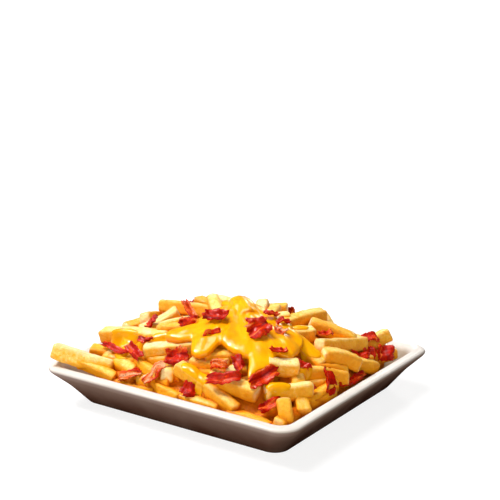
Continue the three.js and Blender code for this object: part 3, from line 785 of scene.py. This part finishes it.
def fry_mesh(fry, number, around=FRY_AROUND):
    """Points, faces and marks of one fry: square with soft edges, a little bent, twisted and uneven."""
    start, end, width, roll, bow = fry
    length = np.linalg.norm(end - start)
    axis = (end - start) / length
    across = np.cross([0, 0, 1], axis)
    across /= np.linalg.norm(across)
    up = np.cross(axis, across)
    chance = np.random.default_rng(1000 + number)
    flatness = chance.uniform(*FRY_FLATNESS, 2)
    twist = chance.uniform(-FRY_TWIST, FRY_TWIST)
    sway = chance.uniform(-FRY_SWAY, FRY_SWAY)
    phase = chance.uniform(0, 2 * math.pi, 2)
    slant = chance.uniform(-CUT_SLANT, CUT_SLANT, (2, 2))
    angles = np.arange(around) * 2 * math.pi / around
    square = soft_square(angles, FRY_SQUARENESS)
    corner = (square - square.min()) / (square.max() - square.min())
    stations = fry_stations(length)
    points = []
    cut = []
    edge = []
    for away, size in stations:
        share = away / length
        bend = 4 * (share - share**2)
        middle = start + share * (end - start) + up * bow * bend + across * sway * bend
        swell = 0.97 + 0.03 * np.sin(phase[0] + 9 * share) * np.sin(phase[1] + 17 * share)
        half = width / 2 * size * swell
        turn = math.radians(roll + twist * (share - 0.5))
        side = half * square * np.cos(angles) * flatness[0]
        rise = half * square * np.sin(angles) * flatness[1]
        turned_side = side * math.cos(turn) - rise * math.sin(turn)
        turned_rise = side * math.sin(turn) + rise * math.cos(turn)
        from_tip = min(away, length - away)
        near_end = max(0.0, 1 - from_tip / CUT_LENGTH)
        slant_side, slant_rise = slant[0] if share < 0.5 else slant[1]
        lean = (slant_side * turned_side + slant_rise * turned_rise) * near_end
        inwards = np.abs(lean) * (1 if share < 0.5 else -1)
        offsets = turned_side[:, None] * across, turned_rise[:, None] * up, inwards[:, None] * axis
        points.append(sum(offsets, middle))
        cut.append(np.full(around, 1.0 if size < CUT_FACE else max(0.0, near_end * 1.2 - 0.55)))
        rim = math.exp(-((from_tip - 0.5) ** 2) / 0.5)
        edge.append(np.clip(corner**2 * 0.75 * (size > CUT_FACE) + 0.6 * rim, 0, 1))
    points = np.concatenate([*points, [start + 0.02 * axis, end - 0.02 * axis]])
    marks = {
        "cut": np.concatenate([*cut, [1.0, 1.0]]),
        "edge": np.concatenate([*edge, [0.0, 0.0]]),
        # Steps of the golden section spread the fries' tones evenly.
        "tone": np.full(len(points), (0.618 * number) % 1),
    }
    return dented(points, start, axis, length, number), loft_faces(len(stations), around), marks


# The core, which fills the heap under the fries

CORE_AROUND = 72
CORE_RINGS = 14
CORE_REACH = (69.5, 63.5)
CORE_SQUARENESS = 9
CORE_DEPTH_UNDER_SAUCE = 5
CORE_DEPTH_UNDER_FRIES = 14.5
CORE_DEPTH_AT_FOOT = 10.5
CORE_HEM_DROP = 3.0  # its hem is lower still, so that it doesn't show beside the lowest fries
CORE_FOOT = 6.35
CORE_FOOT_SHARE = 0.8
CORE_LUMPS = 1.6


def core_outline(share):
    """The x and y of a ring of the core at that share of its reach."""
    angles = np.arange(CORE_AROUND) * 2 * math.pi / CORE_AROUND
    reach = share * soft_square(angles, CORE_SQUARENESS)
    return reach * CORE_REACH[0] * np.cos(angles), reach * CORE_REACH[1] * np.sin(angles)


def core_height(x, y, share):
    """Height of the core, which is lower where fries lie over it than under the sauce."""
    bare = np.array([min(1, max(0, (sauce_edge(*at) + 5) / 7)) for at in zip(x, y)])
    foot = mound_share(x, y) ** 4
    depth = CORE_DEPTH_UNDER_SAUCE + bare * (CORE_DEPTH_UNDER_FRIES - CORE_DEPTH_UNDER_SAUCE)
    depth = depth * (1 - foot) + CORE_DEPTH_AT_FOOT * foot
    return mound_height(x, y) - depth - CORE_HEM_DROP * share**12


def core_mesh():
    """Points, faces and marks of the core: a lumpy mound on a flat foot."""
    rings = [np.stack([*core_outline(CORE_FOOT_SHARE), np.full(CORE_AROUND, CORE_FOOT)], axis=1)]
    for share in np.linspace(0.985, 0.05, CORE_RINGS):
        x, y = core_outline(share)
        rings.append(np.stack([x, y, core_height(x, y, share)], axis=1))
    top = rings[-1].mean(axis=0)
    points = np.concatenate([*rings, [(0, 0, CORE_FOOT), top]])
    lumps = noise_at(points, 7.0, 3.0, noise.noise_vector)
    lumps[:CORE_AROUND] = 0
    points = points + lumps * [0, 0, CORE_LUMPS]
    count = len(points)
    marks = {"cut": np.zeros(count), "edge": np.zeros(count), "tone": np.full(count, 0.6)}
    return points, loft_faces(len(rings), CORE_AROUND), marks


# Painted shade in the gaps: the colour deepens with how closed in a point is, by rays into the air over it

AIR_RAYS = 12
AIR_REACH = 13
AIR_START = 0.25
AIR_TURN = 2.4  # radians from one ray to the next
AIR_LEAN = 0.7  # how much the rays lean to where the surface faces
OPEN_SHARE = 0.17  # a point with less than this of its air taken up gets no painted shade at all
CLOSED_SPAN = 0.55
LOWER_PAINTED_SHADE = 0.28  # painted shade that the lower fries and the core have more than the upper fries
SOAKED_AND_SHADED_SHARE = 0.62  # what the lowest fries have more, below the rim: partly soaking in sauce, partly painted shade of the walls
SOAKED_AND_SHADED_TOP = 26
SOAKED_AND_SHADED_SPAN = 7


def closed_in(points, faces, heap):
    """How much of the air over each point is taken up by what lies around it, from 0 to 1."""
    normals = point_normals(points, faces)
    starts = points + AIR_START * normals
    shares = np.zeros(len(points))
    for ray in range(AIR_RAYS):
        rise = (ray + 0.7) / AIR_RAYS
        bearing = AIR_TURN * ray
        level = math.sqrt(1 - rise**2)
        aims = AIR_LEAN * normals + [level * math.cos(bearing), level * math.sin(bearing), rise]
        for i, (start, aim) in enumerate(zip(starts, aims)):
            away = heap.ray_cast(Vector(start), Vector(aim), AIR_REACH)[3]
            if away is not None:
                shares[i] += (1 - 0.5 * away / AIR_REACH) / AIR_RAYS
    return evened(shares, faces, 3)


def painted_shade_and_soak_mark(points, faces, heap, least):
    """How much painted shade each point gets, from 0 to 1, with soaking as well on points low in the dish.
    """
    # Points low in the dish are darker, partly from soaking in sauce and partly as painted shade of the
    # walls.
    soaked_and_shaded = SOAKED_AND_SHADED_SHARE * np.clip((SOAKED_AND_SHADED_TOP - points[:, 2]) / SOAKED_AND_SHADED_SPAN, 0, 1)
    closed = (closed_in(points, faces, heap) - OPEN_SHARE) / CLOSED_SPAN
    return np.clip(closed + np.maximum(least, soaked_and_shaded), 0, 1)


def heap_pieces(skin):
    """The upper and lower fries and the core. Gives the whole heap, for the drops to hang over."""
    upper = joined([fry_mesh(fry, number) for number, fry in enumerate(upper_fries())])
    lower = joined([fry_mesh(fry, 500 + number, LOWER_AROUND) for number, fry in enumerate(lower_fries())])
    # The cut ends of the lower fries show little of their paleness, as painted shade down in the heap.
    lower[2]["cut"] = 0.3 * lower[2]["cut"]
    core = core_mesh()
    points, faces, _ = joined([upper, lower, core])
    heap = BVHTree.FromPolygons([Vector(point) for point in points], faces)
    for name, mesh in (("upper_fries", upper), ("lower_fries", lower), ("heap_core", core)):
        points, faces, marks = mesh
        marks["deep"] = painted_shade_and_soak_mark(points, faces, heap, 0 if mesh is upper else LOWER_PAINTED_SHADE)
        mesh_piece(name, points, faces, skin, ["fries"], marks)
    return heap


# The pool of sauce, which ran outwards from under its peak in folds

SAUCE_VOXEL = 0.55
SAUCE_SMOOTHING = 16
FLOW_SOURCE = (-5, 6)
FLOW_LENGTH = 26
FLOW_TURN = 4.2
FOLD_HEIGHT = 1.15
CREASE_HEIGHT = 0.6
SOFT_HEIGHT = 0.3
SMOOTH_PEAK = 6  # the folds start at this distance from the source, and grow over the next
FOLD_GROWTH = 16


def sauce_piece(cheese):
    """The pool, from its solid, with its folds and the creases between them."""
    points, normals, faces = solid_mesh("cheese_sauce", SAUCE_VOXEL, SAUCE_SMOOTHING)
    offset_x = points[:, 0] - FLOW_SOURCE[0]
    offset_y = points[:, 1] - FLOW_SOURCE[1]
    reach = np.hypot(offset_x, offset_y)
    bearing = np.arctan2(offset_y, offset_x)
    flow = np.stack([FLOW_TURN * bearing, reach / FLOW_LENGTH, np.full(len(points), 0.4)], axis=1)
    folds = noise_at(flow, 1.0, 2.0) + 0.5 * noise_at(2.3 * flow, 1.0, 6.0)
    creases = 0.35 - np.abs(noise_at([2.1, 1.5, 1.0] * flow, 1.0, 9.0))
    grown = np.clip((reach - SMOOTH_PEAK) / FOLD_GROWTH, 0, 1) * np.clip(normals[:, 2] * 1.5, 0, 1)
    soft = noise_at(points, 7.0, 5.0)
    height = FOLD_HEIGHT * folds * grown + CREASE_HEIGHT * creases * grown + SOFT_HEIGHT * soft
    points = points + normals * height[:, None]
    # Deeper orange on steep and overhanging faces: partly the sauce's denser colour at its edges, partly
    # painted shade.
    steep_tone_and_shade = np.clip(0.9 - 1.3 * normals[:, 2], 0, 1)
    return mesh_piece("cheese_pool", points, faces, cheese, ["cheese_sauce"], {"steep_tone_and_shade": steep_tone_and_shade})


# The drops of sauce, hung over the fries that they landed on

# Thinner sauce that ran on over the fries beside the pool, in the same form as the drops
SAUCE_RUNS = [
    ((47, -6.5, 39), (9, 4.2, 2.2), 0),
    ((57, -22, 36), (7, 4, 2), -50),
    ((-22, -38.5, 39), (8, 4, 2), 10),
    ((-49, -41, 34), (9, 3.4, 2), 5),
    ((14.5, -57, 32), (6, 4.6, 2), -10),
]
DROP_FALLS = [11, 5, 6, 7, 9, 8, 7, 8, 9]  # how far each of the drops and runs hangs down at most
DRAPE_RINGS = 12
DRAPE_AROUND = 40
DRAPE_PASSES = 25
DROP_THICKNESS = 0.6  # in the middle, as a share of its half height
RIM_THICKNESS = 0.15
RIM_RISE = 0.6  # how far the rim may stand over the heap
UNDERSIDE_DEPTH = 0.5  # how far the underside lies in the heap
OVER_ALL = 80


def height_at(heap, x, y):
    """Height of the heap at a point in plan, or 0 beside it."""
    hit = heap.ray_cast(Vector((x, y, OVER_ALL)), Vector((0, 0, -1)))[0]
    return hit.z if hit else 0.0


def drop_rim(heap, number, middle, half, heading, lowest):
    """The lobed rim of a drop about its middle, drawn in to where the heap falls below that height."""
    rim = []
    for step in range(DRAPE_AROUND):
        angle = 2 * math.pi * step / DRAPE_AROUND
        lobe = 1 + 0.28 * noise.noise(Vector((1.3 * math.cos(angle), 1.3 * math.sin(angle), 4.7 * number)))
        aside = Vector((lobe * half[0] * math.cos(angle), lobe * half[1] * math.sin(angle)))
        aside.rotate(Matrix.Rotation(math.radians(heading), 2))
        reach = 1.0
        for share in np.linspace(0.15, 1, 18):
            if height_at(heap, middle[0] + share * aside.x, middle[1] + share * aside.y) < lowest:
                reach = share
                break
        rim.append((aside.x * reach, aside.y * reach))
    rim = np.array(rim)
    for _ in range(2):
        rim = 0.5 * rim + 0.25 * (np.roll(rim, 1, axis=0) + np.roll(rim, -1, axis=0))
    return rim


def ground_under(heap, middle, rim, lowest):
    """Rings of points on the heap from the drop's middle to its rim, none below that height."""
    ground = np.zeros((DRAPE_RINGS, DRAPE_AROUND, 3))
    for ring in range(DRAPE_RINGS):
        share = (ring + 1) / DRAPE_RINGS
        for step in range(DRAPE_AROUND):
            x = middle[0] + share * rim[step, 0]
            y = middle[1] + share * rim[step, 1]
            ground[ring, step] = (x, y, max(height_at(heap, x, y), lowest))
    return ground


def skin_over(floor, thickness):
    """Heights of a smooth skin over that floor, thick in the middle and thin at the rim."""
    share = np.linspace(1 / DRAPE_RINGS, 1, DRAPE_RINGS)[:, None]
    body = thickness * np.sqrt(np.clip(1 - share**2, 0, 1)) ** 0.8 + RIM_THICKNESS
    height = floor + body
    for _ in range(DRAPE_PASSES):
        around = (np.roll(height, 1, axis=1) + np.roll(height, -1, axis=1)) / 2
        outwards = np.vstack([height[1:], height[-1:]])
        inwards = np.vstack([np.full((1, DRAPE_AROUND), height[0].mean()), height[:-1]])
        height = np.maximum(0.4 * height + 0.3 * around + 0.15 * (outwards + inwards), floor + 0.4 * body)
        height[-1] = np.minimum(height[-1], floor[-1] + RIM_RISE)
    return height


def draped_drop(heap, number, middle, half, heading, fall):
    """Points and faces of a drop that hangs over the heap by that fall at most."""
    lowest = middle[2] - fall
    rim = drop_rim(heap, number, middle, half, heading, lowest)
    ground = ground_under(heap, middle, rim, lowest - 1)
    floor = ground[:, :, 2]
    height = skin_over(floor, DROP_THICKNESS * half[2])
    top = np.dstack([ground[:, :, :2], height])
    under = np.dstack([ground[:, :, :2], np.minimum(floor, height) - UNDERSIDE_DEPTH])
    # Its rings run outwards under it and back over it.
    rings = np.concatenate([under, top[::-1]]).reshape(-1, 3)
    points = np.concatenate([rings, [under[0].mean(axis=0), top[0].mean(axis=0)]])
    faces = loft_faces(2 * DRAPE_RINGS, DRAPE_AROUND)
    # From the rim on, its squares start at their next corner, so that they are split like those underneath.
    rim_on = slice((DRAPE_RINGS - 1) * DRAPE_AROUND, (2 * DRAPE_RINGS - 1) * DRAPE_AROUND)
    faces[rim_on] = [face[1:] + face[:1] for face in faces[rim_on]]
    return points, faces, {}


def drop_pieces(cheese, heap):
    """All the drops and runs as one piece."""
    parts = [
        draped_drop(heap, number, *drop, fall)
        for number, (drop, fall) in enumerate(zip(SAUCE_DROPS + SAUCE_RUNS, DROP_FALLS))
    ]
    points, faces, _ = joined(parts)
    return mesh_piece("cheese_drops", points, faces, cheese, ["fries"])


# The bacon

BACON_ALONG = 27
BACON_ACROSS = 15
# The bacon pieces whose fat shows, by number, and how much of them it is
FAT_SHARES = {5: 1.0, 6: 0.8, 7: 0.5, 13: 0.5, 15: 0.8, 19: 0.6, 33: 0.5, 35: 0.8}
RAGGED_SIDES = 0.26
RAGGED_ENDS = 0.22
RUFFLES = (0.4, 1.3)  # least and most height of the ruffle along a piece
RUFFLE_BY_WIDTH = 0.13
CRUMPLES = [(2.4, 0.42), (0.8, 0.12)]  # (size, height) of the finest unevenness


def solid_ripple(placed, middle, length):
    """Where along its length the solid's own ripple is looked at, and its heights there."""
    sections = np.linspace(-0.9, 0.9, 7)
    heights = []
    for section in sections:
        weights = np.exp(-(((placed[:, 0] - middle[0]) / (length / 2) - section) ** 2) / 0.04)
        heights.append(np.sum(weights * (placed[:, 2] - middle[2])) / np.sum(weights))
    return sections, heights


def sheet_faces():
    """Faces of two sheets of points, joined round their border."""
    faces = []
    sheet = BACON_ALONG * BACON_ACROSS
    for i in range(BACON_ALONG - 1):
        for j in range(BACON_ACROSS - 1):
            a = i * BACON_ACROSS + j
            b = a + BACON_ACROSS
            faces.append((a, b, b + 1, a + 1))
            faces.append((sheet + a, sheet + a + 1, sheet + b + 1, sheet + b))
    numbers = np.arange(sheet).reshape(BACON_ALONG, BACON_ACROSS)
    border = [*numbers[0, :-1], *numbers[:-1, -1], *numbers[-1, :0:-1], *numbers[:0:-1, 0]]
    for a, b in zip(border, border[1:] + border[:1]):
        faces.append((a, b, sheet + b, sheet + a))
    return faces


def bacon_mesh(name, number):
    """A crisp, ruffled sheet with ragged edges in the place of one bacon solid, and the grain along it."""
    corners = np.array([vertex.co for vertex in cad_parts[name].data.vertices]) / MM
    # The solid's own axes: along it, across it and out of its flat side, which faces up
    _, _, axes = np.linalg.svd(corners - corners.mean(axis=0), full_matrices=False)
    if axes[2][2] < 0:
        axes[2] = -axes[2]
    placed = corners @ axes.T
    low, high = placed.min(axis=0), placed.max(axis=0)
    middle = (low + high) / 2
    length, width, thickness = high - low
    sections, heights = solid_ripple(placed, middle, length)
    phase = np.random.default_rng(200 + number).uniform(0, 2 * math.pi, 3)
    ruffle = min(RUFFLES[1], max(RUFFLES[0], RUFFLE_BY_WIDTH * width))
    half_thickness = 0.25 + 0.09 * thickness
    points = []
    grain = []
    for face in (1, -1):
        for u in np.linspace(-1, 1, BACON_ALONG):
            for v in np.linspace(-1, 1, BACON_ACROSS):
                side_noise = noise.noise(Vector((4.5 * u, 2 * np.sign(v), 3.3 * number)))
                end_noise = noise.noise(Vector((3 * np.sign(u), 3.5 * v, 5.1 * number)))
                taper = 0.78 + 0.22 * (1 - u**2)
                along = u * length / 2 * (1 + RAGGED_ENDS * end_noise) * (1 - 0.06 * v**2)
                aside = v * width / 2 * (1 + RAGGED_SIDES * side_noise) * taper
                rise = np.interp(u, sections, heights)
                rise += ruffle * math.sin(3.2 * v + phase[0] + 1.1 * math.sin(2 * u + phase[1]))
                rise += 0.45 * math.sin(5.5 * u + phase[2])
                edge = (1 - abs(v) ** 5) * (1 - abs(u) ** 7)
                rise += face * half_thickness * (0.25 + 0.75 * edge)
                points.append(axes.T @ (middle + np.array([along, aside, rise])))
                grain.append((0.05 * along + 2.1 * number, 0.40 * aside + 1.3 * number, 0.1 * rise))
    points = np.array(points)
    points += sum(height * noise_at(points, size, number, noise.noise_vector) for size, height in CRUMPLES)
    fat = np.full(len(points), FAT_SHARES.get(int(name[-2:]), 0.0))
    return points, sheet_faces(), {"grain": grain, "fat": fat}


def bacon_piece(meat):
    """All the bacon as one piece."""
    names = sorted(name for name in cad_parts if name.startswith("bacon_"))
    points, faces, marks = joined([bacon_mesh(name, number) for number, name in enumerate(names)])
    return mesh_piece("bacon_bits", points, faces, meat, names, marks)


# The stage, in metres

FLOOR_HALF = 9.0
FLOOR_TOP = -0.0003
LIT_POINT = (0, 0, 0.035)
SUN_FROM = (-0.36, -0.02, 0.92)
# Each lamp is (name, place, (width, height), watts, colour).
LAMPS = [
    ("key", (-0.45, -0.35, 0.75), (0.14, 0.14), 5, (1.0, 0.98, 0.94)),
    ("back", (-0.35, 0.8, 0.4), (0.25, 0.08), 1.2, (1.0, 0.98, 0.95)),
    ("fill", (0.5, -0.7, 0.35), (0.6, 0.3), 3.0, (1.0, 0.92, 0.76)),
    ("glint", (-0.45, -0.35, 0.75), (0.3, 0.3), 24, (1.0, 1.0, 1.0)),
]
GLOSS_LAMP = "glint"  # lights the gloss alone


def pale_floor():
    """A wide floor just under the dish."""
    corners = [(x * FLOOR_HALF, y * FLOOR_HALF, 0) for x, y in ((-1, -1), (1, -1), (1, 1), (-1, 1))]
    mesh = bpy.data.meshes.new("floor")
    mesh.from_pydata(corners, [], [(0, 1, 2, 3)])
    mesh.materials.append(floor_material())
    floor = in_scene("floor", mesh)
    floor.location.z = FLOOR_TOP


def soft_world():
    """A faint warm white from all sides."""
    world = bpy.data.worlds.new("studio")
    world.use_nodes = True
    background = world.node_tree.nodes["Background"]
    settings(background, Color=(1.0, 0.99, 0.98), Strength=0.12)
    bpy.context.scene.world = world


def overhead_sun():
    """A broad, soft light from above and a little from the left."""
    sun = bpy.data.lights.new("overhead", "SUN")
    sun.energy = 3.0
    sun.angle = math.radians(35)
    overhead = in_scene("overhead", sun)
    overhead.rotation_euler = Vector(SUN_FROM).to_track_quat("Z", "Y").to_euler()


def add_lamp(name, place, size, power, colour):
    """A rectangular lamp aimed at the food."""
    light = bpy.data.lights.new(name, "AREA")
    light.shape = "RECTANGLE"
    light.size, light.size_y = size
    light.energy = power
    light.color = colour
    lamp = in_scene(name, light)
    lamp.location = place
    lamp.rotation_euler = (Vector(LIT_POINT) - Vector(place)).to_track_quat("-Z", "Y").to_euler()
    lamp.visible_diffuse = name != GLOSS_LAMP


def photograph_camera():
    """The camera at the photograph's place, with its lens."""
    lens = bpy.data.cameras.new("photograph")
    lens.lens = CAMERA_LENS
    lens.sensor_width = 36
    lens.clip_start = 0.05
    lens.clip_end = 50
    camera = in_scene("photograph", lens)
    camera.location = Vector(CAMERA_EYE) * MM
    camera.rotation_euler = (math.radians(90 - CAMERA_PITCH), 0, math.radians(CAMERA_HEADING))
    bpy.context.scene.camera = camera
    bpy.context.scene.view_settings.view_transform = "Standard"


porcelain = porcelain_material()
skin = fry_material()
cheese = cheese_material()
meat = bacon_material()

dish_piece(porcelain)
heap = heap_pieces(skin)
sauce_piece(cheese)
drop_pieces(cheese, heap)
bacon_piece(meat)

pale_floor()
soft_world()
overhead_sun()
for lamp in LAMPS:
    add_lamp(*lamp)
photograph_camera()
